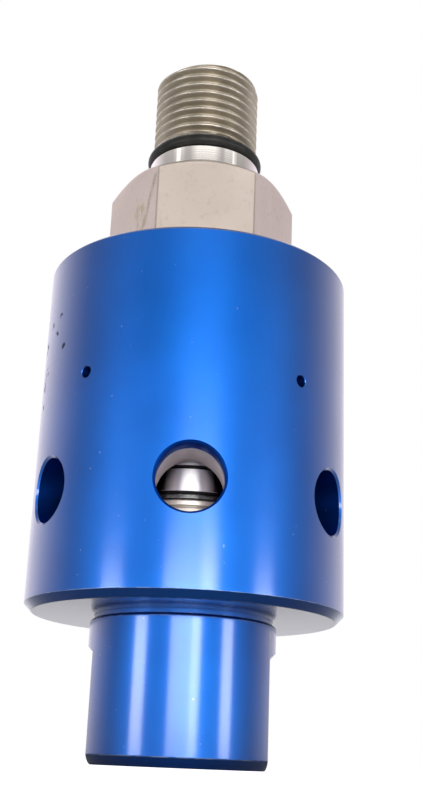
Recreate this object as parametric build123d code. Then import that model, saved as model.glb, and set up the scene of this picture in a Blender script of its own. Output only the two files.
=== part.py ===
"""Hydraulic rotary union: a vented housing, a hex rotor on two ball bearings and a sprung face seal.

It stands on the inlet face of its end cap, centred on Z, with the rotor's threaded stud at the top.
"""

import os
from math import cos, radians, sin

from build123d import *

# Overall
TOTAL_LENGTH = 102.0
HOUSING_DIA = 43.0
HOUSING_BOTTOM = 19.0
HOUSING_TOP = 67.3
BORE_DIA = 35.0

# Drain vents and weep holes
VENT_COUNT = 6
VENT_DIA = 9.1
VENT_HEIGHT = 33.6
WEEP_DIA = 1.6
WEEP_HEIGHT = 48.2
WEEP_ANGLES = (-131, -50, 49, 130)

# End cap
NECK_DIA = 25.1
NECK_TOP = 18.4
CAP_THREAD_DIA = 24.0
CHAMBER_FLOOR = 25.0
NOSE_DIA = 22.0
NOSE_TOP = 27.0
FLATS_ACROSS = 23.0
FLATS_TOP = 13.9
FLATS_TURN = -1
PORT_DIA = 15.2
PORT_DEPTH = 12.0

# Drain sleeve
SLEEVE_BORE = 22.4

# Ball bearings, 17 x 35 x 8
SHAFT_DIA = 17.0
BEARING_WIDTH = 8.0
LOWER_BEARING = 39.4
UPPER_BEARING = 55.8
PITCH_RADIUS = 13.05
BALL_DIA = 4.76
BALL_COUNT = 10
RACE_CLEARANCE = 0.04

# Rotor
HEX_ACROSS = 24.0
HEX_TURN = 2
HEX_BOTTOM = 68.2
PILOT_DIA = 16.65
PILOT_TOP = 87.5
STUD_DIA = 15.88
GROOVE_TOP = 89.4
ROTOR_BORE = 8.7
SPIGOT_DIA = 14.0
NOSE_RING_DIA = 20.4
HOLDER_TOP = 37.75

# Face seal
SEAL_PLANE = 33.6
SEAL_GAP = 0.05
STEM_DIA = 12.0
CARRIER_BORE = 8.4
FLANGE_BOTTOM = 28.8
SPRING_SEAT = 21.5
PIN_CIRCLE = 9.3
PIN_DIA = 2.0


def turned(*profile):
    """A solid of revolution from the (radius, height) corners of its section."""
    outline = Polyline(*[(radius, 0, height) for radius, height in profile], close=True)
    return revolve(make_face(outline), Axis.Z)


def tube(outer, inner, bottom, top, edge=0.0):
    """A ring given by its diameters, with its four edges broken."""
    r_out = outer / 2
    r_in = inner / 2
    if not edge:
        return turned((r_in, bottom), (r_out, bottom), (r_out, top), (r_in, top))
    return turned(
        (r_in + edge, bottom),
        (r_out - edge, bottom),
        (r_out, bottom + edge),
        (r_out, top - edge),
        (r_out - edge, top),
        (r_in + edge, top),
        (r_in, top - edge),
        (r_in, bottom + edge),
    )


def radial_holes(diameter, height, angles):
    """Drills that run outwards from near the axis at each angle about Z, 0 being +X."""
    drill = Pos(0, 0, height) * Rot(0, 90, 0) * Pos(0, 0, 17) * Cylinder(diameter / 2, 20)
    return [Rot(0, 0, angle) * drill for angle in angles]


def vent_angles():
    return [-90 + 360 / VENT_COUNT * index for index in range(VENT_COUNT)]


def housing():
    """Barrel with a tapped bottom wall, a plain bearing bore and a groove for the retaining ring."""
    r_out = HOUSING_DIA / 2
    r_bore = BORE_DIA / 2
    r_tap = CAP_THREAD_DIA / 2
    body = turned(
        (r_tap, HOUSING_BOTTOM),
        (r_out - 1.0, HOUSING_BOTTOM),
        (r_out, HOUSING_BOTTOM + 1.0),
        (r_out, HOUSING_TOP - 0.4),
        (r_out - 0.4, HOUSING_TOP),
        (r_bore + 0.6, HOUSING_TOP),
        (r_bore, HOUSING_TOP - 0.6),
        (r_bore, CHAMBER_FLOOR),
        (r_tap, CHAMBER_FLOOR),
    )
    groove_bottom = UPPER_BEARING + BEARING_WIDTH
    body -= tube(37.0, BORE_DIA - 1, groove_bottom, groove_bottom + 1.6)
    body -= radial_holes(VENT_DIA, VENT_HEIGHT, vent_angles())
    body -= radial_holes(WEEP_DIA, WEEP_HEIGHT, WEEP_ANGLES)
    return body


def drain_sleeve():
    """Bare ring between the chamber floor and the lower bearing, drilled in line with the vents."""
    r_out = BORE_DIA / 2
    r_in = SLEEVE_BORE / 2
    body = turned(
        (r_in, CHAMBER_FLOOR),
        (r_out - 0.5, CHAMBER_FLOOR),
        (r_out, CHAMBER_FLOOR + 0.5),
        (r_out, LOWER_BEARING),
        (r_in + 1.4, LOWER_BEARING),
        (r_in + 1.4, LOWER_BEARING - 0.6),
        (r_in, LOWER_BEARING - 0.6),
    )
    body -= radial_holes(VENT_DIA, VENT_HEIGHT, vent_angles())
    return body


def wrench_flats():
    """The two side cutters of the end cap's flats, with the run-out of the milling cutter above."""
    cutters = []
    reach = FLATS_ACROSS / 2
    for side in (0, 180):
        outline = Polyline(
            (reach, 0, -1),
            (reach + 5, 0, -1),
            (reach + 5, 0, FLATS_TOP + 5),
            (reach, 0, FLATS_TOP),
            close=True,
        )
        bar = extrude(make_face(outline), amount=12, dir=(0, 1, 0), both=True)
        cutters.append(Rot(0, 0, side + FLATS_TURN) * bar)
    return cutters


def end_cap():
    """Inlet neck, threaded shank and inner nose, bored for the port, the seal stem and its spring."""
    r_neck = NECK_DIA / 2
    r_port = PORT_DIA / 2
    r_stem = STEM_DIA / 2 + 0.05
    body = turned(
        (r_port + 0.8, 0),
        (r_neck - 1.2, 0),
        (r_neck, 1.2),
        (r_neck, NECK_TOP - 0.3),
        (r_neck - 0.3, NECK_TOP),
        (CAP_THREAD_DIA / 2, NECK_TOP),
        (CAP_THREAD_DIA / 2, CHAMBER_FLOOR - 1.0),
        (NOSE_DIA / 2, CHAMBER_FLOOR),
        (NOSE_DIA / 2, NOSE_TOP - 0.4),
        (NOSE_DIA / 2 - 0.4, NOSE_TOP),
        (7.9, NOSE_TOP),
        (7.9, SPRING_SEAT),
        (r_stem, SPRING_SEAT),
        (r_stem, 19.4),
        (8.0, 19.4),
        (8.0, 17.0),
        (r_stem, 17.0),
        (r_stem, 14.2),
        (4.5, 14.2),
        (4.5, PORT_DEPTH + 1.2),
        (r_port - 1.2, PORT_DEPTH),
        (r_port, PORT_DEPTH - 1.2),
        (r_port, 0.8),
    )
    body -= wrench_flats()
    for side in (-1, 1):
        body -= Pos(side * PIN_CIRCLE, 0, NOSE_TOP - 2.25) * Cylinder(PIN_DIA / 2, 4.5)
    return body


def drive_pins():
    """Two dowels that keep the floating seal from turning."""
    bottom = NOSE_TOP - 4.5
    top = FLANGE_BOTTOM + 1.6
    pins = []
    for side in (-1, 1):
        pins.append(Pos(side * PIN_CIRCLE, 0, 0) * tapered_pin(PIN_DIA / 2, bottom, top))
    return pins


def tapered_pin(radius, bottom, top):
    return turned(
        (0, bottom),
        (radius - 0.2, bottom),
        (radius, bottom + 0.2),
        (radius, top - 0.3),
        (radius - 0.3, top),
        (0, top),
    )


def stem_oring():
    """Secondary seal between the end cap's bore and the sliding stem."""
    inner = STEM_DIA / 2 + 0.02
    section = (8.0 - inner) / 2
    return Pos(0, 0, 18.2) * Torus(inner + section, section)


def seal_carrier():
    """Floating carrier: a stem in the end cap, a slotted flange on the spring, a cup for the ring."""
    r_stem = STEM_DIA / 2
    r_bore = CARRIER_BORE / 2
    body = turned(
        (r_bore, 15.4),
        (r_stem - 0.6, 15.4),
        (r_stem, 16.0),
        (r_stem, FLANGE_BOTTOM),
        (10.3, FLANGE_BOTTOM),
        (10.5, FLANGE_BOTTOM + 0.2),
        (10.5, 31.4),
        (10.3, 31.6),
        (9.8, 31.6),
        (9.8, 32.3),
        (9.5, 32.5),
        (9.8, 32.7),
        (9.8, 33.3),
        (9.6, 33.5),
        (8.8, 33.5),
        (8.8, 31.7),
        (r_bore, 31.7),
    )
    for side in (-1, 1):
        slot_end = Pos(side * PIN_CIRCLE, 0, 30) * Cylinder(PIN_DIA / 2 + 0.1, 3.2)
        slot_mouth = Pos(side * (PIN_CIRCLE + 1.5), 0, 30) * Box(3, PIN_DIA + 0.2, 3.2)
        body -= slot_end + slot_mouth
    return body


def stator_ring():
    """Black carbide ring seated in the carrier's cup, its lapped face standing proud."""
    return tube(17.6, 8.6, 31.7, SEAL_PLANE, edge=0.15)


def spring():
    """Coil that pushes the carrier up, with both ends ground flat."""
    coil_radius = 7.1
    wire = 0.5
    height = FLANGE_BOTTOM - SPRING_SEAT
    path = Helix(pitch=height / 4, height=height, radius=coil_radius)
    start = Plane(origin=path @ 0, z_dir=path % 0)
    coil = sweep(start * Circle(wire), path=path, is_frenet=True)
    ground = Pos(0, 0, height / 2) * Cylinder(coil_radius + 1, height)
    return Pos(0, 0, SPRING_SEAT) * (coil & ground)


def hexagon():
    """Wrench hexagon under a double-coned crown, one flat facing the front."""
    prism = extrude(RegularPolygon(HEX_ACROSS / 2, 6, major_radius=False), amount=20)
    prism = Pos(0, 0, HEX_BOTTOM) * Rot(0, 0, HEX_TURN) * prism
    crown = turned(
        (0, HEX_BOTTOM),
        (12.6, HEX_BOTTOM),
        (15.0, HEX_BOTTOM + 1.4),
        (15.0, 80.4),
        (12.0, 82.6),
        (PILOT_DIA / 2, 84.9),
        (0, 84.9),
    )
    return prism & crown


def rotor():
    """One-piece shaft: spigot, bearing journal, shoulder, hexagon, pilot, ring groove and stud."""
    r_shaft = SHAFT_DIA / 2
    r_pilot = PILOT_DIA / 2
    r_stud = STUD_DIA / 2
    journal_top = UPPER_BEARING + BEARING_WIDTH
    shaft = turned(
        (0, 36.2),
        (SPIGOT_DIA / 2, 36.2),
        (SPIGOT_DIA / 2, LOWER_BEARING),
        (r_shaft, LOWER_BEARING),
        (r_shaft, journal_top),
        (11.5, journal_top),
        (11.5, 66.75),
        (13.4, 66.75),
        (13.4, HEX_BOTTOM),
        (10.0, HEX_BOTTOM),
        (10.0, 80.0),
        (r_pilot, 80.0),
        (r_pilot, PILOT_TOP - 0.2),
        (r_pilot - 0.2, PILOT_TOP),
        (6.95, PILOT_TOP),
        (6.95, GROOVE_TOP),
        (r_stud - 0.3, GROOVE_TOP),
        (r_stud, GROOVE_TOP + 0.3),
        (r_stud, TOTAL_LENGTH - 0.45),
        (r_stud - 0.45, TOTAL_LENGTH),
        (0, TOTAL_LENGTH),
    )
    bore = turned(
        (0, 36.2),
        (ROTOR_BORE / 2, 36.2),
        (ROTOR_BORE / 2, TOTAL_LENGTH - 0.7),
        (ROTOR_BORE / 2 + 0.7, TOTAL_LENGTH),
        (0, TOTAL_LENGTH),
    )
    return shaft + hexagon() - bore


def seal_holder():
    """Polished cup on the end of the shaft that carries the turning seal ring."""
    r_out = NOSE_RING_DIA / 2
    return turned(
        (9.2, 34.3),
        (r_out - 0.2, 34.3),
        (r_out, 34.5),
        (r_out, HOLDER_TOP - 0.25),
        (r_out - 0.25, HOLDER_TOP),
        (SPIGOT_DIA / 2, HOLDER_TOP),
        (SPIGOT_DIA / 2, 36.2),
        (9.2, 36.2),
    )


def rotor_ring():
    """Black carbide ring that turns with the shaft, pressed into the cup."""
    return tube(18.4, 8.7, SEAL_PLANE + SEAL_GAP, 36.2, edge=0.15)


def shaft_nut():
    """Ring nut that clamps both inner races against the rotor's shoulder."""
    r_out = NOSE_RING_DIA / 2
    return turned(
        (SPIGOT_DIA / 2, HOLDER_TOP),
        (r_out - 0.25, HOLDER_TOP),
        (r_out, HOLDER_TOP + 0.25),
        (r_out, LOWER_BEARING - 0.3),
        (r_out - 0.3, LOWER_BEARING),
        (SPIGOT_DIA / 2, LOWER_BEARING),
    )


def pilot_oring():
    """O-ring above the pilot that seals the stud in its spindle."""
    section = 1.78 / 2
    return Pos(0, 0, (PILOT_TOP + GROOVE_TOP) / 2) * Torus(6.95 + section, section)


def ball_track(bottom):
    track = Torus(PITCH_RADIUS, BALL_DIA / 2 + RACE_CLEARANCE)
    return Pos(0, 0, bottom + BEARING_WIDTH / 2) * track


def inner_race(bottom):
    """Inner ring with its ball track."""
    return tube(22.9, SHAFT_DIA, bottom, bottom + BEARING_WIDTH, edge=0.3) - ball_track(bottom)


def outer_race(bottom):
    """Outer ring with its ball track and a rebate for a shield in each face."""
    top = bottom + BEARING_WIDTH
    ring = turned(
        (15.2, bottom),
        (17.2, bottom),
        (17.5, bottom + 0.3),
        (17.5, top - 0.3),
        (17.2, top),
        (15.2, top),
        (15.2, top - 0.8),
        (14.7, top - 0.8),
        (14.7, bottom + 0.8),
        (15.2, bottom + 0.8),
    )
    return ring - ball_track(bottom)


def shields(bottom):
    """Pressed steel shields in both faces of a bearing, clear of its inner ring."""
    pair = []
    for face, inward in ((bottom, 1), (bottom + BEARING_WIDTH, -1)):
        pair.append(
            turned(
                (11.8, face + inward * 0.35),
                (14.5, face + inward * 0.35),
                (14.8, face + inward * 0.1),
                (15.2, face + inward * 0.1),
                (15.2, face + inward * 0.8),
                (14.8, face + inward * 0.8),
                (14.6, face + inward * 0.65),
                (11.8, face + inward * 0.65),
            )
        )
    return pair


def ball_places(bottom):
    places = []
    for index in range(BALL_COUNT):
        turn = radians(360 / BALL_COUNT * index)
        middle = bottom + BEARING_WIDTH / 2
        places.append(Pos(PITCH_RADIUS * cos(turn), PITCH_RADIUS * sin(turn), middle))
    return places


def balls(bottom):
    """The full set of balls of one bearing."""
    return [place * Sphere(BALL_DIA / 2) for place in ball_places(bottom)]


def cage(bottom):
    """Crown cage: a ring under the balls with claws that rise between them."""
    ring = tube(27.7, 24.5, bottom + 1.2, bottom + 5.0)
    ring -= [place * Sphere(BALL_DIA / 2 + 0.1) for place in ball_places(bottom)]
    return ring


def inner_spacer():
    """Distance ring between the two inner races."""
    return tube(21.4, SHAFT_DIA, LOWER_BEARING + BEARING_WIDTH, UPPER_BEARING, edge=0.3)


def outer_spacer():
    """Distance ring between the two outer races, drilled in line with the weep holes."""
    ring = tube(BORE_DIA, 30.4, LOWER_BEARING + BEARING_WIDTH, UPPER_BEARING)
    ring -= radial_holes(WEEP_DIA - 0.2, WEEP_HEIGHT + 0.1, WEEP_ANGLES)
    return ring


def retaining_ring():
    """Internal circlip above the upper bearing, with two plier eyes beside its gap."""
    bottom = UPPER_BEARING + BEARING_WIDTH
    ring = tube(36.8, 32.2, bottom, bottom + 1.5)
    for side in (-1, 1):
        eye = Rot(0, 0, 90 + side * 17) * Pos(15.0, 0, bottom + 0.75)
        ring += eye * Cylinder(1.9, 1.5)
        ring -= eye * Cylinder(0.9, 1.5)
    gap = Pos(0, 16, bottom + 0.75) * Box(4.4, 8, 1.6)
    return ring - gap


def dust_slinger():
    """Thin turned ring on the rotor's shoulder that covers the bearing."""
    return turned(
        (11.5, 65.75),
        (13.2, 65.75),
        (13.8, 66.15),
        (17.1, 66.15),
        (17.1, 66.75),
        (11.5, 66.75),
    )


NODES = {
    "housing": housing,
    "drain_sleeve": drain_sleeve,
    "end_cap": end_cap,
    "drive_pins": drive_pins,
    "stem_oring": stem_oring,
    "seal_carrier": seal_carrier,
    "stator_ring": stator_ring,
    "seal_spring": spring,
    "rotor": rotor,
    "seal_holder": seal_holder,
    "rotor_ring": rotor_ring,
    "shaft_nut": shaft_nut,
    "pilot_oring": pilot_oring,
    "inner_spacer": inner_spacer,
    "outer_spacer": outer_spacer,
    "retaining_ring": retaining_ring,
    "dust_slinger": dust_slinger,
}

BEARING_NODES = {
    "inner_race": inner_race,
    "outer_race": outer_race,
    "shields": shields,
    "balls": balls,
    "cage": cage,
}


def save(name, shape):
    if isinstance(shape, list):
        shape = Compound(children=shape)
    export_step(shape, f"parts/{name}.step")


os.makedirs("parts", exist_ok=True)
for name, make in NODES.items():
    save(name, make())
for side, bottom in (("lower", LOWER_BEARING), ("upper", UPPER_BEARING)):
    for name, make in BEARING_NODES.items():
        save(f"{side}_{name}", make(bottom))
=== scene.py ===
"""Visual model of a hydraulic rotary union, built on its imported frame, standing on the inlet face."""

from math import asin, atan2, cos, degrees, hypot, pi, radians, sin, sqrt, tau

import bmesh
import bpy
from mathutils import Matrix, Vector


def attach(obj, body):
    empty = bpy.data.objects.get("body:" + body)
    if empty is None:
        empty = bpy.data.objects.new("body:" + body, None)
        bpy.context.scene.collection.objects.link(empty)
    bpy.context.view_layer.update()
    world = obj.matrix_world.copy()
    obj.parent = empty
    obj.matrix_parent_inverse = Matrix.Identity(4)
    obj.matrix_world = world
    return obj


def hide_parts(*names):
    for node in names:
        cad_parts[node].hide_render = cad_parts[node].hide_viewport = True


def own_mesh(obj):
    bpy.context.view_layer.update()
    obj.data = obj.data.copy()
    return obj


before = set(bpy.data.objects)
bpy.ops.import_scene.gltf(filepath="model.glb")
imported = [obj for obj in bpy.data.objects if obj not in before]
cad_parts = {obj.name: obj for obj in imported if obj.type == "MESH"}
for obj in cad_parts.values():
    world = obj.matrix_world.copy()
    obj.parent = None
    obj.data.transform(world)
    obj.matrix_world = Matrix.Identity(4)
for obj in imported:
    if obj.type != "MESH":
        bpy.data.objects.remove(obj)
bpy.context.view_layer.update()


# HOUSING
# A barrel turned from aluminium bar, then drilled with six drain vents and four weep holes and
# anodised blue. Its tapped foot takes the end cap, its plain bore the bearings and the seal chamber.
# Sizes are in millimetres and heights are from the inlet face.

MM = 0.001

HOUSING_RADIUS = 21.5
HOUSING_BOTTOM = 19.0
HOUSING_TOP = 67.3
BORE_RADIUS = 17.5
CAP_THREAD_RADIUS = 12.0
CHAMBER_FLOOR = 25.0
VENT_RADIUS = 4.3
VENT_HEIGHT = 33.6
VENT_COUNT = 6
VENT_ANGLES = [radians(-90 + 360 / VENT_COUNT * place) for place in range(VENT_COUNT)]
WEEP_RADIUS = 0.8
WEEP_HEIGHT = 48.2
WEEP_ANGLES = [radians(angle) for angle in (-131, -50, 49, 130)]
VENT_LIP = 18.5
BARREL_COLUMNS = 216
SKIN_BOTTOM = 20.15
SKIN_TOP = HOUSING_TOP - 0.55


def eased(corners, reach=0.15, steps=4):
    """The (radius, height) outline with each corner turned into a small arc, and its edge mark, 0 to 1, for
    edges painted as wear and as a painted glint.
    """
    points = []
    count = len(corners)
    for index, corner in enumerate(corners):
        here = Vector(corner)
        back = Vector(corners[index - 1]) - here
        ahead = Vector(corners[(index + 1) % count]) - here
        cut = min(reach, 0.45 * back.length, 0.45 * ahead.length)
        first = here + back.normalized() * cut
        last = here + ahead.normalized() * cut
        for step in range(steps + 1):
            t = step / steps
            point = first * (1 - t) ** 2 + here * 2 * t * (1 - t) + last * t**2
            points.append((point.x, point.y, 1.0 if 0 < step < steps else 0.0))
    return points


def hoop(mesh, angles, radius, height, wear_and_glint=0.0):
    """One ring of vertices about Z."""
    worn_and_glint = mesh.verts.layers.float["wear_and_glint"]
    ring = []
    for angle in angles:
        vert = mesh.verts.new((radius * cos(angle) * MM, radius * sin(angle) * MM, height * MM))
        vert[worn_and_glint] = wear_and_glint
        ring.append(vert)
    return ring


def band(mesh, lower, upper, finish=0):
    """The quads between two closed rings of equal count. finish is their material's place."""
    for index, vert in enumerate(lower):
        after = (index + 1) % len(lower)
        face = mesh.faces.new((vert, lower[after], upper[after], upper[index]))
        face.material_index = finish


def new_mesh():
    """An empty mesh under work, with an edge mark, 0 to 1, at each vertex, where edges are painted as wear
    and as a painted glint.
    """
    mesh = bmesh.new()
    mesh.verts.layers.float.new("wear_and_glint")
    return mesh


def made(name, mesh, crease=40):
    """Turns the mesh under work into a named object with smooth faces and crisp edges."""
    bmesh.ops.remove_doubles(mesh, verts=mesh.verts, dist=1e-7)
    bmesh.ops.recalc_face_normals(mesh, faces=mesh.faces)
    data = bpy.data.meshes.new(name)
    mesh.to_mesh(data)
    mesh.free()
    data.shade_smooth()
    data.set_sharp_from_angle(angle=radians(crease))
    piece = bpy.data.objects.new(name, data)
    bpy.context.collection.objects.link(piece)
    return piece


def even_normals(piece):
    """Lets the broad faces set the shading, so that only the eased edges curve."""
    weigh = piece.modifiers.new("even normals", "WEIGHTED_NORMAL")
    weigh.keep_sharp = True
    weigh.weight = 100


def drilled_skin(mesh, radius, angles, heights, holes):
    """A cylinder wall with round holes. Each hole is (first column, columns, first row, rows, angle,
    height, hole radius); it comes back as its ring of vertices and their directions round the hole."""
    columns = len(angles)
    worn_and_glint = mesh.verts.layers.float["wear_and_glint"]
    skipped = set()
    for first, wide, low, tall, *_ in holes:
        for column in range(first, first + wide):
            for row in range(low, low + tall):
                skipped.add((column % columns, row))
    rows = [hoop(mesh, angles, radius, height) for height in heights]
    for row in range(len(heights) - 1):
        for column in range(columns):
            if (column, row) in skipped:
                continue
            after = (column + 1) % columns
            mesh.faces.new(
                (rows[row][column], rows[row][after], rows[row + 1][after], rows[row + 1][column])
            )
    rims = []
    for first, wide, low, tall, angle, height, reach in holes:
        edge = [(first + step, low) for step in range(wide)]
        edge += [(first + wide, low + step) for step in range(tall)]
        edge += [(first + wide - step, low + tall) for step in range(wide)]
        edge += [(first, low + tall - step) for step in range(tall)]
        outer = [rows[row][column % columns] for column, row in edge]
        places = []
        for column, row in edge:
            turn = angles[column % columns] - angle
            turn = (turn + pi) % tau - pi
            places.append((turn, heights[row] - height))
        ways = [atan2(rise, turn * HOUSING_RADIUS) for turn, rise in places]
        ring = outer
        for share in (0.2, 0.4, 0.6, 0.8, 0.92, 0.98, 1.0):
            nearer = []
            for (turn, rise), way in zip(places, ways):
                to_turn = asin(reach * cos(way) / radius)
                to_rise = reach * sin(way)
                at = angle + turn + (to_turn - turn) * share
                z = height + rise + (to_rise - rise) * share
                vert = mesh.verts.new((radius * cos(at) * MM, radius * sin(at) * MM, z * MM))
                vert[worn_and_glint] = 0.0
                nearer.append(vert)
            band(mesh, ring, nearer)
            ring = nearer
        rims.append((ring, ways))
    loose = [vert for row in rows for vert in row if not vert.link_faces]
    for vert in loose:
        mesh.verts.remove(vert)
    kept = [[vert for vert in row if vert.is_valid] for row in rows]
    return kept[0], kept[-1], rims


def hole_wall(mesh, rim, inner_rim, angle, height, hole_radius, skin_radius, break_edge, lip=None):
    """The wall of one drilled hole, from its broken outer edge in to the rim in the inner skin. Inside
    the lip, at a radius from the axis, the wall is bare metal with a painted highlight along its edge."""
    worn_and_glint = mesh.verts.layers.float["wear_and_glint"]
    out = Vector((cos(angle), sin(angle), 0))
    across = Vector((-sin(angle), cos(angle), 0))
    ring, ways = rim

    def nearer(lateral, skin, depth, wear_and_glint, finish):
        inner = []
        for way in ways:
            side = lateral * cos(way)
            point = out * (sqrt(skin**2 - side**2) - depth) + across * side
            point.z = height + lateral * sin(way)
            vert = mesh.verts.new(point * MM)
            vert[worn_and_glint] = wear_and_glint
            inner.append(vert)
        band(mesh, ring, inner, finish)
        return inner

    # Finish 1 is the blue painted darker as shade in the holes; finish 2 is bare metal.
    edge_finish = 1 if lip else 0
    for share in (0.5, 1.0):
        reach = hole_radius + break_edge * (1 - share)
        ring = nearer(reach, skin_radius, break_edge * share, 0.0, edge_finish)
    if lip:
        # A thin band at the lip is painted in the bright edge colour, as a painted highlight where the bare
        # wall begins.
        ring = nearer(hole_radius, lip, 0, 1.0, 1)
        ring = nearer(hole_radius, lip - 0.15, 0, 1.0, 2)
        ring = nearer(hole_radius, lip - 0.2, 0, 0.0, 2)
    band(mesh, ring, inner_rim[0], 2 if lip else 1)


def finish(name):
    """An empty material: its node tree and its main shader."""
    material = bpy.data.materials.new(name)
    material.use_nodes = True
    return material, material.node_tree, material.node_tree.nodes["Principled BSDF"]


def add(tree, kind, inputs=None, **settings):
    """A node with its settings made and its inputs set or linked."""
    node = tree.nodes.new("ShaderNode" + kind)
    for setting, value in settings.items():
        setattr(node, setting, value)
    for socket, value in (inputs or {}).items():
        if isinstance(value, bpy.types.NodeSocket):
            tree.links.new(value, node.inputs[socket])
        else:
            node.inputs[socket].default_value = value
    return node


def stepped(tree, value, low, high, from_out=0.0, to_out=1.0):
    """The value spread from low..high onto from_out..to_out, held at both ends."""
    inputs = {"Value": value, "From Min": low, "From Max": high, "To Min": from_out, "To Max": to_out}
    return add(tree, "MapRange", inputs).outputs["Result"]


def mixed(tree, share, first, second):
    """A colour between two, by share."""
    node = add(tree, "Mix", data_type="RGBA")
    for socket, value in ((0, share), (6, first), (7, second)):
        if isinstance(value, bpy.types.NodeSocket):
            tree.links.new(value, node.inputs[socket])
        elif socket:
            node.inputs[socket].default_value = (*value, 1.0)
        else:
            node.inputs[socket].default_value = value
    return node.outputs[2]


def maths(tree, operation, first, second=0.0):
    """One sum on values or sockets."""
    return add(tree, "Math", {0: first, 1: second}, operation=operation).outputs[0]


def noise(tree, scale, stretch=(1, 1, 1), detail=3.0, shift=(0, 0, 0)):
    """Noise over the object's own space: scale per metre, stretched along its axes."""
    place = add(tree, "TexCoord").outputs["Object"]
    mapped = add(tree, "Mapping", {"Vector": place, "Scale": stretch, "Location": shift})
    inputs = {"Vector": mapped.outputs[0], "Scale": scale, "Detail": detail}
    return add(tree, "TexNoise", inputs).outputs["Fac"]


def worked_metal(name, pale, deep, worn_and_glint, rough, feed=0.2, depth=6, coat=0.0, brushed=0.45):
    """A machined metal: cloudy colour, fine feed marks round Z, small specks, and bright edges painted
    partly as wear and partly as a painted glint.
    feed is the spacing of the marks in mm and depth their depth in micrometres."""
    material, tree, shader = finish(name)
    clouds = stepped(tree, noise(tree, 90, detail=4), 0.35, 0.68)
    colour = mixed(tree, clouds, deep, pale)
    marks = noise(tree, 1.0, stretch=(5, 5, 1000 / feed), detail=1)
    specks = stepped(tree, noise(tree, 1500, detail=1, shift=(3, 1, 2)), 0.79, 0.8)
    colour = mixed(tree, maths(tree, "MULTIPLY", specks, 0.5), colour, worn_and_glint)
    # Edges marked on the mesh are painted in the bright edge colour: partly real wear, partly a painted
    # glint where edges catch the light.
    edge = add(tree, "Attribute", attribute_name="wear_and_glint").outputs["Fac"]
    edge_breakup = stepped(tree, noise(tree, 700, detail=3, shift=(5, 2, 8)), 0.42, 0.58, 0.35, 1.0)
    colour = mixed(tree, maths(tree, "MULTIPLY", edge, edge_breakup), colour, worn_and_glint)
    spread = stepped(tree, marks, 0.3, 0.7, rough * 0.95, rough * 1.05)
    smears = stepped(tree, noise(tree, 120, detail=4, shift=(1, 7, 3)), 0.4, 0.7, 0.0, rough * 0.15)
    spread = maths(tree, "ADD", spread, smears)
    bump = add(tree, "Bump", {"Height": marks, "Strength": 1.0, "Distance": depth * 1e-6})
    tangent = add(tree, "Tangent", direction_type="RADIAL", axis="Z")
    shader.inputs["Metallic"].default_value = 1.0
    shader.inputs["Anisotropic"].default_value = brushed
    shader.inputs["Anisotropic Rotation"].default_value = 0.25
    shader.inputs["Coat Weight"].default_value = coat
    shader.inputs["Coat Roughness"].default_value = 0.16
    tree.links.new(colour, shader.inputs["Base Color"])
    tree.links.new(spread, shader.inputs["Roughness"])
    tree.links.new(bump.outputs[0], shader.inputs["Normal"])
    tree.links.new(tangent.outputs[0], shader.inputs["Tangent"])
    return material


def spot(tree, centre, reach, soft=0.5):
    """1 inside a ball about a place on the object, in mm, and 0 outside it."""
    place = add(tree, "TexCoord").outputs["Object"]
    where = tuple(part * MM for part in centre)
    gap = add(tree, "VectorMath", {0: place, 1: where}, operation="DISTANCE").outputs["Value"]
    return stepped(tree, gap, reach * MM * soft, reach * MM, 1.0, 0.0)


def recolour(material, share, tint):
    """Lays a tint over a finish's colour by share."""
    tree = material.node_tree
    shader = tree.nodes["Principled BSDF"]
    base = shader.inputs["Base Color"].links[0].from_socket
    tree.links.new(mixed(tree, share, base, tint), shader.inputs["Base Color"])


angles = [tau * column / BARREL_COLUMNS for column in range(BARREL_COLUMNS)]
per_vent = BARREL_COLUMNS // VENT_COUNT
vent_rows = 24
vent_low = 26.4
vent_high = 40.8
weep_rows = 6
weep_columns = 6
weep_reach = 1.9
heights = [SKIN_BOTTOM]
heights += [vent_low + (vent_high - vent_low) * row / vent_rows for row in range(vent_rows + 1)]
first_weep_row = len(heights)
heights += [WEEP_HEIGHT - weep_reach + 2 * weep_reach * row / weep_rows for row in range(weep_rows + 1)]
heights += [SKIN_TOP]
edge_break = 0.3
weep_break = 0.08


def barrel_holes(extra_vent, extra_weep):
    """The vents and weep holes as drilled_skin takes them, widened by the extra radii."""
    holes = []
    for angle in VENT_ANGLES:
        first = round((angle - pi / 6) / tau * BARREL_COLUMNS) % BARREL_COLUMNS
        holes.append((first, per_vent, 1, vent_rows, angle, VENT_HEIGHT, VENT_RADIUS + extra_vent))
    for angle in WEEP_ANGLES:
        first = round(angle / tau * BARREL_COLUMNS - weep_columns / 2) % BARREL_COLUMNS
        holes.append(
            (first, weep_columns, first_weep_row, weep_rows, angle, WEEP_HEIGHT, WEEP_RADIUS + extra_weep)
        )
    return holes


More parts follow.
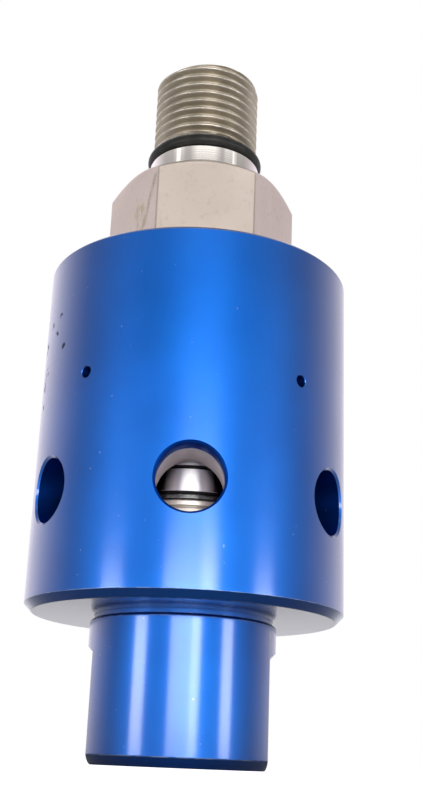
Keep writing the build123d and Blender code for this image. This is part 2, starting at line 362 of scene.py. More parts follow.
barrel = new_mesh()
outer = drilled_skin(barrel, HOUSING_RADIUS, angles, heights, barrel_holes(edge_break, weep_break))
inner = drilled_skin(barrel, BORE_RADIUS, angles, heights, barrel_holes(0, 0))
for index, (outer_rim, inner_rim) in enumerate(zip(outer[2], inner[2])):
    if index < VENT_COUNT:
        hole_wall(barrel, outer_rim, inner_rim, VENT_ANGLES[index], VENT_HEIGHT, VENT_RADIUS,
                  HOUSING_RADIUS, edge_break, lip=VENT_LIP if index == 0 else None)
    else:
        hole_wall(barrel, outer_rim, inner_rim, WEEP_ANGLES[index - VENT_COUNT], WEEP_HEIGHT,
                  WEEP_RADIUS, HOUSING_RADIUS, weep_break)
foot = eased([
    (HOUSING_RADIUS, SKIN_BOTTOM),
    (HOUSING_RADIUS, HOUSING_BOTTOM + 1.0),
    (HOUSING_RADIUS - 1.0, HOUSING_BOTTOM),
    (CAP_THREAD_RADIUS, HOUSING_BOTTOM),
    (CAP_THREAD_RADIUS, CHAMBER_FLOOR),
    (BORE_RADIUS, CHAMBER_FLOOR),
    (BORE_RADIUS, 25.5),
], reach=0.12)
crown = eased([
    (BORE_RADIUS, 66.0),
    (BORE_RADIUS, HOUSING_TOP - 0.6),
    (BORE_RADIUS + 0.6, HOUSING_TOP),
    (HOUSING_RADIUS - 0.4, HOUSING_TOP),
    (HOUSING_RADIUS, HOUSING_TOP - 0.4),
    (HOUSING_RADIUS, HOUSING_TOP - 0.5),
], reach=0.12)
ring = outer[0]
for radius, height, wear_and_glint in foot[5:-5]:
    lower = hoop(barrel, angles, radius, height, wear_and_glint)
    band(barrel, ring, lower)
    ring = lower
band(barrel, ring, inner[0])
ring = inner[1]
for radius, height, wear_and_glint in crown[5:-5]:
    upper = hoop(barrel, angles, radius, height, wear_and_glint)
    band(barrel, ring, upper)
    ring = upper
band(barrel, ring, outer[1])
housing = made("housing_barrel", barrel)
even_normals(housing)

blue = worked_metal(
    "blue anodise", pale=(0.004, 0.155, 0.66), deep=(0.003, 0.13, 0.58), worn_and_glint=(0.3, 0.42, 0.72),
    rough=0.45, feed=0.2, depth=0.3, coat=1.0, brushed=0.1,
)
tree = blue.node_tree
shader = tree.nodes["Principled BSDF"]
facing = add(tree, "LayerWeight", {"Blend": 0.5}).outputs["Facing"]
place = add(tree, "TexCoord").outputs["Object"]
rising = add(tree, "SeparateXYZ", {0: place}).outputs["Z"]
# Painted shade: the blue is painted darker towards the top of the barrel, from 44 mm to 64 mm up.
recolour(blue, stepped(tree, rising, 44 * MM, 64 * MM, 0.0, 0.3), (0.003, 0.06, 0.28))
# Painted shade: the blue is painted darker where the surface turns away from the view, towards its outline.
recolour(blue, stepped(tree, facing, 0.1, 0.75, 0.0, 0.7), (0.003, 0.02, 0.1))
tree.links.new(stepped(tree, facing, 0.3, 0.85, 1.5, 2.2), shader.inputs["Coat IOR"])
knocks = 0.0
for angle, height, reach in (
    (-165.5, 55.0, 1.1), (-163.0, 49.5, 1.3), (-161.0, 51.0, 0.9), (-152.5, 55.5, 0.8), (-171.5, 42.2, 0.9),
    (-158.0, 57.5, 0.7), (-150.0, 58.2, 0.6), (-146.0, 53.2, 0.6), (-163.0, 46.0, 0.6),
):
    turn = radians(angle)
    struck = (HOUSING_RADIUS * cos(turn), HOUSING_RADIUS * sin(turn), height)
    knocks = maths(tree, "MAXIMUM", knocks, spot(tree, struck, reach))
knocks = maths(tree, "MULTIPLY", knocks, stepped(tree, noise(tree, 1300, shift=(6, 1, 1)), 0.48, 0.54))
recolour(blue, knocks, (0.002, 0.006, 0.03))
tree.links.new(stepped(tree, knocks, 0.0, 0.8, 1.0, 0.0), shader.inputs["Coat Weight"])
housing.data.materials.append(blue)
# Painted shade: a darker copy of the blue anodise, with a dark specular tint, for the vent and weep hole
# walls and the front vent's chamfer.
hole_shade_blue = worked_metal(
    "blue anodise painted dark in the holes", pale=(0.003, 0.06, 0.36), deep=(0.002, 0.045, 0.3), worn_and_glint=(0.3, 0.42, 0.72),
    rough=0.5, feed=0.4, depth=4,
)
hole_shade_blue.node_tree.nodes["Principled BSDF"].inputs["Specular Tint"].default_value = (0.03, 0.1, 0.4, 1)
housing.data.materials.append(hole_shade_blue)
bare = worked_metal(
    "bare turned metal", pale=(0.95, 0.86, 0.86), deep=(0.72, 0.64, 0.64), worn_and_glint=(0.98, 0.94, 0.94),
    rough=0.42, feed=0.35, depth=10,
)
bare.node_tree.nodes["Principled BSDF"].inputs["Metallic"].default_value = 0.5
housing.data.materials.append(bare)
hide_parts("housing")
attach(housing, "stator")


# DRAIN SLEEVE
# A bare metal ring pushed up the bore until it stands on the chamber floor. It is drilled in line
# with the vents, so leaked coolant runs out past the seal and not up into the bearings.

SLEEVE_BORE = 11.2
SLEEVE_TOP = 39.4
SLEEVE_VENT_RADIUS = 4.55
SLEEVE_RADIUS = BORE_RADIUS - 0.01
SLEEVE_RECESS = 38.8
SLEEVE_RECESS_RADIUS = SLEEVE_BORE + 1.4
SLEEVE_EDGE_BREAK = 0.05

sleeve_rows = 20
sleeve_low = 27.6
sleeve_high = 38.75
sleeve_heights = [25.7] + [
    sleeve_low + (sleeve_high - sleeve_low) * row / sleeve_rows for row in range(sleeve_rows + 1)
]


def sleeve_holes(extra):
    """The sleeve's holes in line with the vents, widened by the extra radius."""
    holes = []
    for angle in VENT_ANGLES:
        first = round((angle - pi / 6) / tau * BARREL_COLUMNS) % BARREL_COLUMNS
        holes.append((first, per_vent, 1, sleeve_rows, angle, VENT_HEIGHT, SLEEVE_VENT_RADIUS + extra))
    return holes


ring_mesh = new_mesh()
outer = drilled_skin(
    ring_mesh, SLEEVE_RADIUS, angles, sleeve_heights, sleeve_holes(SLEEVE_EDGE_BREAK)
)
inner = drilled_skin(ring_mesh, SLEEVE_BORE, angles, sleeve_heights, sleeve_holes(0))
for angle, outer_rim, inner_rim in zip(VENT_ANGLES, outer[2], inner[2]):
    hole_wall(ring_mesh, outer_rim, inner_rim, angle, VENT_HEIGHT, SLEEVE_VENT_RADIUS,
              SLEEVE_RADIUS, SLEEVE_EDGE_BREAK)
ring = outer[0]
for radius, height in ((BORE_RADIUS - 0.5, 25.02), (SLEEVE_BORE + 0.1, 25.02), (SLEEVE_BORE, 25.12)):
    lower = hoop(ring_mesh, angles, radius, height)
    band(ring_mesh, ring, lower)
    ring = lower
band(ring_mesh, ring, inner[0])
ring = inner[1]
for radius, height in (
    (SLEEVE_BORE, SLEEVE_RECESS),
    (SLEEVE_RECESS_RADIUS, SLEEVE_RECESS),
    (SLEEVE_RECESS_RADIUS, SLEEVE_TOP),
    (SLEEVE_RADIUS, SLEEVE_TOP),
):
    upper = hoop(ring_mesh, angles, radius, height)
    band(ring_mesh, ring, upper)
    ring = upper
band(ring_mesh, ring, outer[1])
sleeve = made("bored_sleeve", ring_mesh)
even_normals(sleeve)
sleeve.data.materials.append(bare)
# Painted shade: a near-black copy of the bare metal for the inside of the sleeve, as the shade within the
# housing.
sleeve_shade_finish = worked_metal(
    "sleeve painted dark as shade", pale=(0.06, 0.045, 0.04), deep=(0.03, 0.022, 0.02), worn_and_glint=(0.3, 0.26, 0.24),
    rough=0.42, feed=0.35, depth=10,
)
sleeve.data.materials.append(sleeve_shade_finish)
# Painted shade: the bore and every face away from the front vent are painted dark; only the front vent's
# hole walls keep the bare finish.
for face in sleeve.data.polygons:
    reaches = [hypot(*sleeve.data.vertices[index].co.xy) for index in face.vertices]
    turn = degrees(atan2(face.center.y, face.center.x))
    by_front_vent = min(reaches) < 17 * MM and abs(turn + 90) < 25
    face.material_index = 1 if max(reaches) < 11.25 * MM or not by_front_vent else 0
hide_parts("drain_sleeve")
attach(sleeve, "stator")


# END CAP
# A turned neck with a wrench flat milled on either side, screwed into the housing's foot and
# anodised with it. Its mouth is tapped for the hose fitting, its inner nose holds the spring.

NECK_RADIUS = 12.55
NECK_TOP = 18.4
FLAT_REACH = 11.5
FLATS_TOP = 13.9
FLATS_TURN = radians(-1)
PORT_MINOR = 7.6
PORT_MAJOR = 8.33
PORT_PITCH = 1.337
NOSE_RADIUS = 11.0
NOSE_TOP = 27.0
SPRING_POCKET = 7.9
SPRING_SEAT = 21.5
STEM_BORE = 6.05
STEM_GROOVE = 8.0


def turned(name, corners, columns=192, reach=0.12, steps=4, crease=40):
    """A turned ring: its section's corners as (radius, height) in mm, with eased edges."""
    mesh = new_mesh()
    around = [tau * column / columns for column in range(columns)]
    rings = [hoop(mesh, around, *point) for point in eased(corners, reach, steps)]
    for index, ring in enumerate(rings):
        band(mesh, ring, rings[(index + 1) % len(rings)])
    piece = made(name, mesh, crease)
    even_normals(piece)
    return piece


def cut(piece, cutter):
    """Takes the cutter away from the piece, for good."""
    before = piece.modifiers.new("cut", "BOOLEAN")
    before.object = cutter
    before.operation = "DIFFERENCE"
    before.solver = "EXACT"
    bpy.context.view_layer.objects.active = piece
    while piece.modifiers[0] != before:
        bpy.ops.object.modifier_move_up(modifier=before.name)
    bpy.ops.object.modifier_apply(modifier=before.name)
    bpy.data.objects.remove(cutter)


def bar(name, outline, low, high, turn=0.0):
    """A straight bar along Y from low to high, its section given in X and Z, turned about Z. In mm."""
    mesh = bmesh.new()
    ends = []
    for y in (low, high):
        ends.append([mesh.verts.new(Vector((x, y, z)) * MM) for x, z in outline])
    mesh.faces.new(ends[0])
    mesh.faces.new(list(reversed(ends[1])))
    band(mesh, ends[1], ends[0])
    bmesh.ops.rotate(mesh, verts=mesh.verts, matrix=Matrix.Rotation(turn, 3, "Z"))
    bmesh.ops.recalc_face_normals(mesh, faces=mesh.faces)
    data = bpy.data.meshes.new(name)
    mesh.to_mesh(data)
    mesh.free()
    piece = bpy.data.objects.new(name, data)
    bpy.context.collection.objects.link(piece)
    return piece


end_cap = turned("inlet_neck", [
    (PORT_MAJOR + 0.5, 0.0),
    (NECK_RADIUS - 1.2, 0.0),
    (NECK_RADIUS, 1.2),
    (NECK_RADIUS, NECK_TOP - 0.3),
    (NECK_RADIUS - 0.3, NECK_TOP),
    (CAP_THREAD_RADIUS, NECK_TOP),
    (CAP_THREAD_RADIUS - 0.01, CHAMBER_FLOOR - 1.0),
    (NOSE_RADIUS, CHAMBER_FLOOR),
    (NOSE_RADIUS, NOSE_TOP - 0.4),
    (NOSE_RADIUS - 0.4, NOSE_TOP),
    (SPRING_POCKET, NOSE_TOP),
    (SPRING_POCKET, SPRING_SEAT),
    (STEM_BORE, SPRING_SEAT),
    (STEM_BORE, 19.4),
    (STEM_GROOVE, 19.4),
    (STEM_GROOVE, 17.0),
    (STEM_BORE, 17.0),
    (STEM_BORE, 14.2),
    (4.5, 14.2),
    (4.5, 13.2),
    (PORT_MINOR - 1.2, 12.0),
    (PORT_MAJOR + 0.05, 10.8),
    (PORT_MAJOR + 0.05, 0.45),
], columns=256)
for side in (0.0, pi):
    cut(end_cap, bar("milling cutter", [
        (FLAT_REACH, -1),
        (FLAT_REACH + 5, -1),
        (FLAT_REACH + 5, FLATS_TOP + 5),
        (FLAT_REACH, FLATS_TOP),
    ], -12, 12, side + FLATS_TURN))
end_cap.data.set_sharp_from_angle(angle=radians(30))
end_cap.data.materials.append(blue)
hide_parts("end_cap")
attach(end_cap, "stator")


def thread_form(phase, crest=0.1, root=0.14):
    """How far the flank is down from the crest, 0 to 1, at a phase of 0 to 1 along one pitch."""
    away = min(phase, 1 - phase) * 2
    slope = (away - crest) / (1 - crest - root)
    slope = min(1.0, max(0.0, slope))
    return slope * slope * (3 - 2 * slope) * 0.35 + slope * 0.65


def threaded(name, crest_radius, depth, pitch, low, high, hand, plain_radius, limit, columns=160):
    """A threaded ring. hand is 1 for right and -1 for left; plain_radius is the ring's other wall.
    limit(radius, height) trims the thread's ends; depth is negative for a thread inside a bore."""
    mesh = new_mesh()
    worn_and_glint = mesh.verts.layers.float["wear_and_glint"]
    around = [tau * column / columns for column in range(columns)]
    steps = round((high - low) / pitch * 20)
    rings = []
    for step in range(steps + 1):
        height = low + (high - low) * step / steps
        ring = []
        for angle in around:
            phase = ((height - low) / pitch - hand * angle / tau) % 1.0
            down = thread_form(phase)
            radius = limit(crest_radius - depth * down, height)
            vert = mesh.verts.new((radius * cos(angle) * MM, radius * sin(angle) * MM, height * MM))
            # Painted highlight: each thread crest is painted in the bright edge colour, partly as wear and
            # partly as a painted highlight along the crest.
            vert[worn_and_glint] = 1.0 if down < 0.04 else 0.0
            ring.append(vert)
        rings.append(ring)
    rings.append(hoop(mesh, around, plain_radius, high))
    rings.append(hoop(mesh, around, plain_radius, low))
    for index, ring in enumerate(rings):
        band(mesh, ring, rings[(index + 1) % len(rings)])
    return made(name, mesh, crease=50)


inlet_thread = threaded(
    "inlet_thread", PORT_MINOR, PORT_MINOR - PORT_MAJOR, PORT_PITCH, 0.4, 10.8, 1, PORT_MAJOR + 0.2,
    lambda radius, height: max(radius, PORT_MINOR + 0.9 - height),
)
inlet_thread.data.materials.append(blue)
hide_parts("end_cap")
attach(inlet_thread, "stator")


# FLOATING SEAL
# A stainless carrier slides in the end cap on its stem and is pushed up by a coil spring. Its cup
# holds a black carbide ring, whose lapped top face runs against the ring on the rotor.

SEAL_PLANE = 33.6
STEM_RADIUS = 6.0
FLANGE_BOTTOM = 28.8

carrier = turned("carrier_body", [
    (4.2, 15.4),
    (5.4, 15.4),
    (STEM_RADIUS, 16.0),
    (STEM_RADIUS, FLANGE_BOTTOM),
    (10.3, FLANGE_BOTTOM),
    (10.5, 29.0),
    (10.5, 31.4),
    (10.3, 31.6),
    (9.8, 31.6),
    (9.8, 32.3),
    (9.5, 32.5),
    (9.8, 32.7),
    (9.8, 33.3),
    (9.6, 33.5),
    (8.82, 33.5),
    (8.82, 31.7),
    (4.2, 31.7),
], reach=0.06, columns=144)
dowel_slot = [(8.4, 28), (12, 28), (12, 31.61), (8.4, 31.61)]
for side in (0.0, pi):
    cut(carrier, bar("slot cutter", dowel_slot, -1.1, 1.1, side))
stainless = worked_metal(
    "turned stainless", pale=(0.62, 0.57, 0.52), deep=(0.5, 0.455, 0.41), worn_and_glint=(0.8, 0.77, 0.72),
    rough=0.36, feed=0.25, depth=8,
)
carrier.data.materials.append(stainless)
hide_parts("seal_carrier")
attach(carrier, "floating_seal")

carbide, tree, shader = finish("lapped black carbide")
grains = noise(tree, 4200, detail=2)
tree.links.new(
    mixed(tree, stepped(tree, grains, 0.35, 0.7), (0.012, 0.012, 0.014), (0.04, 0.038, 0.04)),
    shader.inputs["Base Color"],
)
tree.links.new(stepped(tree, grains, 0.3, 0.7, 0.14, 0.3), shader.inputs["Roughness"])
shader.inputs["IOR"].default_value = 2.0
shader.inputs["Specular IOR Level"].default_value = 0.5

stator_ring = turned("lower_carbide_ring", [
    (4.3, 31.72), (8.8, 31.72), (8.8, SEAL_PLANE), (4.3, SEAL_PLANE),
], reach=0.15, columns=144)
stator_ring.data.materials.append(carbide)
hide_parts("stator_ring")
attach(stator_ring, "floating_seal")


# SEAL END OF THE ROTOR
# A polished cup shrunk on the shaft's spigot holds the turning carbide ring. The ring nut above it
# clamps both inner races; the two chamfers between them leave a fine dark groove.

SEAM = 37.75

polished = worked_metal(
    "ground and polished", pale=(0.92, 0.89, 0.92), deep=(0.82, 0.79, 0.82), worn_and_glint=(0.95, 0.93, 0.93),
    rough=0.37, feed=0.3, depth=0.6, brushed=0.97,
)
tree = polished.node_tree
aside = add(tree, "LayerWeight", {"Blend": 0.5}).outputs["Facing"]
# Painted reflection: the polished cup and nut are painted near black wherever they turn more than slightly
# from the view, leaving a narrow pale band facing it.
recolour(polished, stepped(tree, aside, 0.05, 0.09), (0.05, 0.045, 0.05))
holder = turned("polished_cup", [
    (9.22, 34.3),
    (10.0, 34.3),
    (10.2, 34.5),
    (10.2, SEAM - 0.25),
    (9.95, SEAM),
    (7.0, SEAM),
    (7.0, 36.22),
    (9.22, 36.22),
], reach=0.06)
nut = turned("ring_nut", [
    (7.0, SEAM),
    (9.95, SEAM),
    (10.2, SEAM + 0.25),
    (10.2, 39.1),
    (9.9, 39.4),
    (7.0, 39.4),
], reach=0.06)
for piece, node in ((holder, "seal_holder"), (nut, "shaft_nut")):
    piece.data.materials.append(polished)
    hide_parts(node)
    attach(piece, "rotor")
rotor_ring = turned("upper_carbide_ring", [
    (4.35, SEAL_PLANE + 0.05), (9.2, SEAL_PLANE + 0.05), (9.2, 36.2), (4.35, 36.2),
], reach=0.15, columns=144)
rotor_ring.data.materials.append(carbide)
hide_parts("rotor_ring")
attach(rotor_ring, "rotor")


# ROTOR
# One piece of stainless bar. From the foot: spigot, bearing journal, shoulder, wrench hexagon with a
# double-coned crown, ground pilot collar, O-ring groove, and the left-hand threaded stud.

HEX_REACH = 12.0
HEX_TURN = radians(2)
HEX_BOTTOM = 68.2
CROWN = ((15.0, 80.4), (12.0, 82.6), (8.325, 84.9))
PILOT_RADIUS = 8.325
PILOT_TOP = 87.5
GROOVE_RADIUS = 6.95
GROOVE_TOP = 89.4
STUD_RADIUS = 7.94
STUD_TOP = 102.0
ROTOR_BORE = 4.35
STUD_PITCH = 25.4 / 18
CORNER_ROUND = 0.35
INSIDE_COLLAR = 8.0


def hexagon_outline():
    """The hexagon's section as (angle, radius), its corners slightly rounded, one flat to the front."""
    points = []
    corner_centre = (HEX_REACH - CORNER_ROUND) / cos(pi / 6)
    for side in range(6):
        facing = -pi / 2 + HEX_TURN + side * pi / 3
        half = corner_centre * sin(pi / 6)
        for step in range(-12, 13):
            along = half * step / 12
            x, y = HEX_REACH, along
            points.append((facing + atan2(y, x), hypot(x, y)))
        corner = facing + pi / 6
        for step in range(1, 6):
            bend = facing + pi / 3 * step / 6
            x = corner_centre * cos(corner) + CORNER_ROUND * cos(bend)
            y = corner_centre * sin(corner) + CORNER_ROUND * sin(bend)
            points.append((atan2(y, x), hypot(x, y)))
    return points


def crown_height(radius):
    """The height at which the crown's cones meet a radius."""
    for (outer_r, outer_z), (inner_r, inner_z) in zip(CROWN, CROWN[1:]):
        if radius >= inner_r:
            return outer_z + (inner_z - outer_z) * (outer_r - radius) / (outer_r - inner_r)
    return CROWN[-1][1]


def skirt_height(radius):
    """The height at which the chamfer under the hexagon meets a radius."""
    return HEX_BOTTOM + max(0.0, radius - 12.6) * 1.4 / 2.4


outline = hexagon_outline()
hex_angles = [angle for angle, radius in outline]
body = new_mesh()
worn_and_glint = body.verts.layers.float["wear_and_glint"]


def hex_row(radius_at, height_at, wear_and_glint=0.0):
    """One ring round the hexagon, its radius and height worked out from the outline's radius."""
    ring = []
    for angle, radius in outline:
        r = radius_at(radius)
        vert = body.verts.new((r * cos(angle) * MM, r * sin(angle) * MM, height_at(radius) * MM))
        vert[worn_and_glint] = wear_and_glint
        ring.append(vert)
    return ring


lower_body = eased([
    (ROTOR_BORE, 50.0),
    (ROTOR_BORE, 36.2),
    (7.0, 36.2),
    (7.0, 39.4),
    (8.5, 39.4),
    (8.5, 63.8),
    (11.5, 63.8),
    (11.5, 66.75),
    (13.4, 66.75),
    (13.4, HEX_BOTTOM),
    (12.6, HEX_BOTTOM),
], reach=0.1)
rings = [hoop(body, hex_angles, *point) for point in lower_body[2:-3]]
rings.append(hex_row(lambda r: 12.7, lambda r: HEX_BOTTOM))
rings.append(hex_row(lambda r: r - 0.12, lambda r: skirt_height(r - 0.12)))
# The hexagon's chamfer edges are marked for the bright edge colour: partly wear, partly a painted glint.
rings.append(hex_row(lambda r: r, lambda r: skirt_height(r) + 0.12, 1.0))
rings.append(hex_row(lambda r: r, lambda r: skirt_height(r) + 0.5))
for share in (0.25, 0.5, 0.75):
    rings.append(hex_row(
        lambda r: r, lambda r, s=share: skirt_height(r) + (crown_height(r) - skirt_height(r)) * s
    ))
rings.append(hex_row(lambda r: r, lambda r: crown_height(r) - 0.4))
rings.append(hex_row(lambda r: r, lambda r: crown_height(r) - 0.14))
rings.append(hex_row(lambda r: r - 0.03, lambda r: crown_height(r) - 0.04, 1.0))
rings.append(hex_row(lambda r: r - 0.14, lambda r: crown_height(r - 0.14) - 0.01))
for share in (0.3, 0.6, 0.9):
    rings.append(hex_row(
        lambda r, s=share: r - 0.14 - (r - 0.14 - 11.7) * s,
        lambda r, s=share: crown_height(r - 0.14 - (r - 0.14 - 11.7) * s),
    ))
for radius in (11.4, 10.6, 9.6, 8.7):
    rings.append(hoop(body, hex_angles, radius, crown_height(radius)))
upper_body = eased([
    (8.8, crown_height(8.8)),
    (PILOT_RADIUS, CROWN[-1][1]),
    (PILOT_RADIUS, PILOT_TOP - 0.2),
    (PILOT_RADIUS - 0.2, PILOT_TOP),
    (GROOVE_RADIUS, PILOT_TOP),
    (GROOVE_RADIUS, GROOVE_TOP),
    (ROTOR_BORE, GROOVE_TOP),
    (ROTOR_BORE, 80.0),
], reach=0.1)
rings += [hoop(body, hex_angles, *point) for point in upper_body[5:-3]]
for index, ring in enumerate(rings):
    band(body, ring, rings[(index + 1) % len(rings)])
rotor_body = made("rotor_body", body, crease=45)
even_normals(rotor_body)

rotor_stud = threaded(
    "rotor_stud", STUD_RADIUS, 0.78, STUD_PITCH, GROOVE_TOP, STUD_TOP, -1, ROTOR_BORE,
    lambda radius, height: min(
        radius, STUD_RADIUS - 0.45 + (STUD_TOP - height), 7.2 + (height - GROOVE_TOP)
    ),
)
stem_steel = worked_metal(
    "stained stainless", pale=(0.66, 0.565, 0.5), deep=(0.585, 0.495, 0.435), worn_and_glint=(0.76, 0.7, 0.64),
    rough=0.3, feed=0.3, depth=3, brushed=0.0,
)
tree = stem_steel.node_tree
mottle = stepped(tree, noise(tree, 1300, detail=5, shift=(2, 9, 4)), 0.56, 0.72, 0.0, 0.3)
recolour(stem_steel, mottle, (0.4, 0.33, 0.25))
start, end = Vector((-6.9, -11.5, 80.0)), Vector((-8.3, -9.4, 73.4))
run = 0.0
for step in range(13):
    run = maths(tree, "MAXIMUM", run, spot(tree, start.lerp(end, step / 12), 0.7, 0.3))
streaks = stepped(tree, noise(tree, 900, stretch=(1, 1, 0.3), detail=4), 0.36, 0.52, 0.3, 0.75)
recolour(stem_steel, maths(tree, "MULTIPLY", streaks, run), (0.33, 0.29, 0.2))
blots = stepped(tree, noise(tree, 800, stretch=(1, 1, 0.5), detail=4, shift=(1, 3, 3)), 0.44, 0.56)
for place, reach in (((-9.1, -8.1, 75.8), 1.9), ((-8.9, -8.4, 73.6), 2.0), ((-8.6, -8.9, 70.8), 1.5)):
    recolour(stem_steel, maths(tree, "MULTIPLY", blots, spot(tree, place, reach, 0.3)), (0.42, 0.36, 0.2))
ground_collar = worked_metal(
    "ground collar", pale=(0.9, 0.84, 0.8), deep=(0.8, 0.745, 0.705), worn_and_glint=(0.9, 0.85, 0.8),
    rough=0.08, feed=0.2, depth=1, brushed=0.6,
)
# Painted shade: the stud's steel is painted darker than the rotor's other stainless, for the shade on the
# thread's flanks.
thread_painted_dark = worked_metal(
    "thread steel painted dark", pale=(0.45, 0.4, 0.325), deep=(0.32, 0.28, 0.215), worn_and_glint=(0.66, 0.61, 0.54),
    rough=0.4, feed=0.4, depth=3,
)
rotor_body.data.materials.append(stem_steel)
rotor_body.data.materials.append(ground_collar)
for face in rotor_body.data.polygons:
    if face.center.z > CROWN[-1][1] * MM and hypot(*face.center.xy) > INSIDE_COLLAR * MM:
        face.material_index = 1
rotor_stud.data.materials.append(thread_painted_dark)
for piece in (rotor_body, rotor_stud):
    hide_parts("rotor")
    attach(piece, "rotor")


# O-RINGS
# Moulded black nitrile. One is snapped into the groove above the pilot and seals the spindle; the
# other sits in the end cap's bore and seals the sliding stem.

rubber, tree, shader = finish("black nitrile")
skin = noise(tree, 2600, detail=4)
dust = stepped(tree, noise(tree, 500, detail=3, shift=(4, 4, 1)), 0.5, 0.8)
tree.links.new(mixed(tree, dust, (0.008, 0.008, 0.0075), (0.024, 0.023, 0.021)), shader.inputs["Base Color"])
tree.links.new(stepped(tree, skin, 0.3, 0.7, 0.34, 0.5), shader.inputs["Roughness"])
shader.inputs["Specular IOR Level"].default_value = 0.25
bump = add(tree, "Bump", {"Height": skin, "Strength": 0.5, "Distance": 8e-6})
tree.links.new(bump.outputs[0], shader.inputs["Normal"])

ORING_SECTION = 0.89
ORING_HEIGHT = 88.45
ORING_STEPS = 48

around_section = []
for step in range(ORING_STEPS):
    turn = tau * step / ORING_STEPS
    reach = (GROOVE_RADIUS + ORING_SECTION) + ORING_SECTION * cos(turn)
    around_section.append((reach, ORING_HEIGHT + ORING_SECTION * sin(turn)))
pilot_oring = turned("spindle_oring", around_section, reach=0.0, steps=1, columns=192)
pilot_oring.data.materials.append(rubber)
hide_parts("pilot_oring")
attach(pilot_oring, "rotor")


# DUST SLINGER
# A thin turned washer pressed on the rotor's shoulder. It turns in the mouth of the housing and
# throws dirt and coolant off before they reach the upper bearing.

slinger = turned("slinger_washer", [
    (11.5, 65.75),
    (13.2, 65.75),
    (13.8, 66.15),
    (17.1, 66.15),
    (17.1, 66.75),
    (11.5, 66.75),
], reach=0.1)
slinger.data.materials.append(stainless)
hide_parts("dust_slinger")
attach(slinger, "rotor")


# BEARINGS AND HIDDEN FITTINGS
# Two shielded ball bearings with nylon crown cages, the rings that space them, the circlip, the
# carrier's two dowels and the stem's O-ring keep their solids and get their own finishes. The seal
# spring keeps its shape too, as a copy of its coil set on the stator.

bearing_steel = worked_metal(
    "ground bearing steel", pale=(0.72, 0.72, 0.73), deep=(0.62, 0.62, 0.63), worn_and_glint=(0.8, 0.8, 0.8),
    rough=0.16, feed=0.3, depth=2,
)
pressed_steel = worked_metal(
    "pressed steel", pale=(0.6, 0.6, 0.6), deep=(0.5, 0.5, 0.5), worn_and_glint=(0.72, 0.72, 0.72),
    rough=0.34, feed=0.5, depth=4,
)
spring_steel = worked_metal(
    "oiled spring steel", pale=(0.2, 0.19, 0.18), deep=(0.13, 0.12, 0.11), worn_and_glint=(0.45, 0.43, 0.4),
    rough=0.34, feed=0.5, depth=4,
)
nylon, tree, shader = finish("natural nylon")
tree.links.new(
    mixed(tree, noise(tree, 300), (0.62, 0.55, 0.4), (0.74, 0.68, 0.54)), shader.inputs["Base Color"]
)
tree.links.new(stepped(tree, noise(tree, 1500), 0.3, 0.7, 0.4, 0.55), shader.inputs["Roughness"])
shader.inputs["Subsurface Weight"].default_value = 0.1
fitting_finish = {
    "drive_pins": bearing_steel,
    "stem_oring": rubber,
    "retaining_ring": spring_steel,
    "inner_spacer": bare,
    "outer_spacer": bare,
}
for side in ("lower", "upper"):
    for part in ("inner_race", "outer_race", "balls"):
        fitting_finish[f"{side}_{part}"] = bearing_steel
    fitting_finish[f"{side}_shields"] = pressed_steel
    fitting_finish[f"{side}_cage"] = nylon
for node, material in fitting_finish.items():
    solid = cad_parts[node]
    solid.data.materials.clear()
    solid.data.materials.append(material)

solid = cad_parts["seal_spring"]
coil = bpy.data.objects.new("coil_spring", solid.data.copy())
coil.matrix_world = solid.matrix_world
bpy.context.collection.objects.link(coil)
coil.data.materials.clear()
coil.data.materials.append(spring_steel)
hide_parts("seal_spring")
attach(coil, "stator")
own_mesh(coil)


# STUDIO
# A pale floor, a white surround and four upright soft boxes, two in front and one on either side,
# as a small product is lit. The surround has brighter and dimmer zones for turned metal to show.

FLOOR_SIZE = 4.0
BOX_DISTANCE = 0.75

bpy.ops.mesh.primitive_plane_add(size=FLOOR_SIZE, location=(0, 0, 0))
floor = bpy.context.object
floor.name = "studio_floor"
paper, tree, shader = finish("studio paper")
fibres = stepped(tree, noise(tree, 40, detail=4), 0.3, 0.7)
looked_at = add(tree, "LightPath").outputs["Is Camera Ray"]
place = add(tree, "TexCoord").outputs["Object"]
# Painted shadow: for every ray but the camera's, the floor is painted dark grey and glows less out to 40 mm
# from its middle, fading out by 140 mm.
away = add(tree, "VectorMath", {0: place}, operation="LENGTH").outputs["Value"]
away = stepped(tree, away, 0.04, 0.14)
shaded = mixed(tree, away, (0.22, 0.22, 0.22), (0.9, 0.9, 0.9))
lit = mixed(tree, fibres, (0.9, 0.9, 0.9), (0.93, 0.93, 0.93))
tree.links.new(mixed(tree, looked_at, shaded, lit), shader.inputs["Base Color"])
shader.inputs["Roughness"].default_value = 0.9
shader.inputs["Emission Color"].default_value = (1, 1, 1, 1)
glow = maths(tree, "MULTIPLY", away, 0.35)
glow = maths(tree, "MAXIMUM", glow, maths(tree, "MULTIPLY", looked_at, 0.75))
tree.links.new(glow, shader.inputs["Emission Strength"])
floor.data.materials.append(paper)


def soft_box(name, turn, width, top, glow):
    """A soft box standing on the floor, turn degrees round from the front, width by top in metres.
    glow is its radiance."""
    lamp = bpy.data.lights.new(name, "AREA")
    lamp.shape = "RECTANGLE"
    lamp.size = width
    lamp.size_y = top
    lamp.energy = glow * pi * width * top
    way = radians(turn)
    place = Vector((sin(way) * BOX_DISTANCE, -cos(way) * BOX_DISTANCE, top / 2))
    box = bpy.data.objects.new(name, lamp)
    box.location = place
    aim = Vector((0, 0, top / 2)) - place
    box.rotation_mode = "QUATERNION"
    box.rotation_quaternion = aim.to_track_quat("-Z", "Y")
    bpy.context.collection.objects.link(box)
    return box


soft_box("front box", 4, 0.5, 0.16, 8.5)
soft_box("front strip", 15, 0.12, 0.16, 7.0)
soft_box("left box", -51, 0.2, 0.13, 12.5)
soft_box("right box", 55, 0.18, 0.13, 12.0)

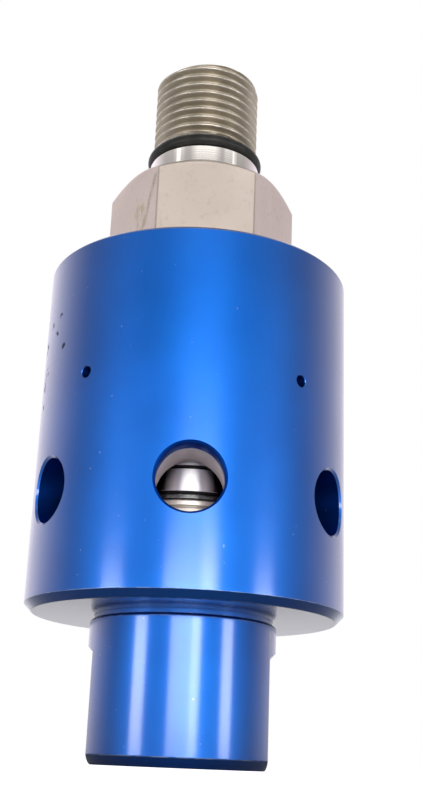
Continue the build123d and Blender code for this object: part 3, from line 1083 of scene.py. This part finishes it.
world = bpy.data.worlds.new("studio surround")
bpy.context.scene.world = world
world.use_nodes = True
tree = world.node_tree
surround = tree.nodes["Background"]
way = add(tree, "TexCoord").outputs["Generated"]
axes = add(tree, "SeparateXYZ", {0: way})
across, along, up = (axes.outputs[axis] for axis in "XYZ")
behind = stepped(tree, along, 0.0, 0.7)
left = stepped(tree, across, -0.5, 0.5, 1.0, 0.0)
backlight = mixed(tree, left, (1.0, 0.94, 1.04), (1.22, 1.15, 1.26))
shade = mixed(tree, behind, (0.4, 0.4, 0.4), backlight)


def zone(level, *shares):
    """Lays an even grey over the surround where all the shares are 1."""
    share = shares[0]
    for other in shares[1:]:
        share = maths(tree, "MULTIPLY", share, other)
    return mixed(tree, share, shade, (level, level, level))


def near(value, centre, full, none):
    """1 within full of a centre, fading to 0 at none."""
    gap = maths(tree, "ABSOLUTE", maths(tree, "SUBTRACT", value, centre))
    return stepped(tree, gap, full, none, 1.0, 0.0)


front = stepped(tree, along, -0.8, -0.3, 1.0, 0.0)
bearing = maths(tree, "ARCTAN2", across, maths(tree, "MULTIPLY", along, -1.0))
bearing = maths(tree, "MULTIPLY", bearing, 180 / pi)
shade = zone(0.5, stepped(tree, up, 0.72, 0.86))
shade = zone(0.35, stepped(tree, up, 0.1, 0.42, 1.0, 0.0), front)
shade = zone(0.12, near(up, 0.41, 0.04, 0.1), front)
tall = stepped(tree, up, 0.515, 0.53)
tall = maths(tree, "MULTIPLY", tall, stepped(tree, up, 0.63, 0.67, 1.0, 0.0))
shade = zone(0.8, tall, stepped(tree, along, 0.0, 0.3, 1.0, 0.0))
for centre, half, level in ((-57, 12, 1.35), (2, 26, 2.0), (54, 12, 1.5)):
    shade = zone(level, near(bearing, centre, half * 0.7, half * 1.3), tall)
shade = zone(2.5, near(bearing, 6, 8, 18), near(up, 0.24, 0.03, 0.09))
paths = add(tree, "LightPath")
seen = maths(tree, "MAXIMUM", paths.outputs["Is Camera Ray"], paths.outputs["Is Transmission Ray"])
shade = mixed(tree, seen, shade, (1.0, 1.0, 1.0))
tree.links.new(shade, surround.inputs["Color"])
surround.inputs["Strength"].default_value = 1.0

bpy.context.scene.view_settings.view_transform = "Standard"


# CAMERA
# Low in front of the union, just above the floor, looking up along it.

LENS = 49.31865
SENSOR = 36.0

camera_data = bpy.data.cameras.new("camera")
camera_data.sensor_width = SENSOR
camera_data.lens = LENS
camera_data.clip_start = 0.005
camera = bpy.data.objects.new("camera", camera_data)
camera.matrix_world = (
    Matrix.Translation((0, -0.15018, 0.00066))
    @ Matrix.Rotation(-0.016576, 4, "Z")
    @ Matrix.Rotation(0.320416, 4, "X")
    @ Matrix.Rotation(-0.040965, 4, "Y")
    @ Matrix.Rotation(pi / 2, 4, "X")
)
bpy.context.collection.objects.link(camera)
bpy.context.scene.camera = camera
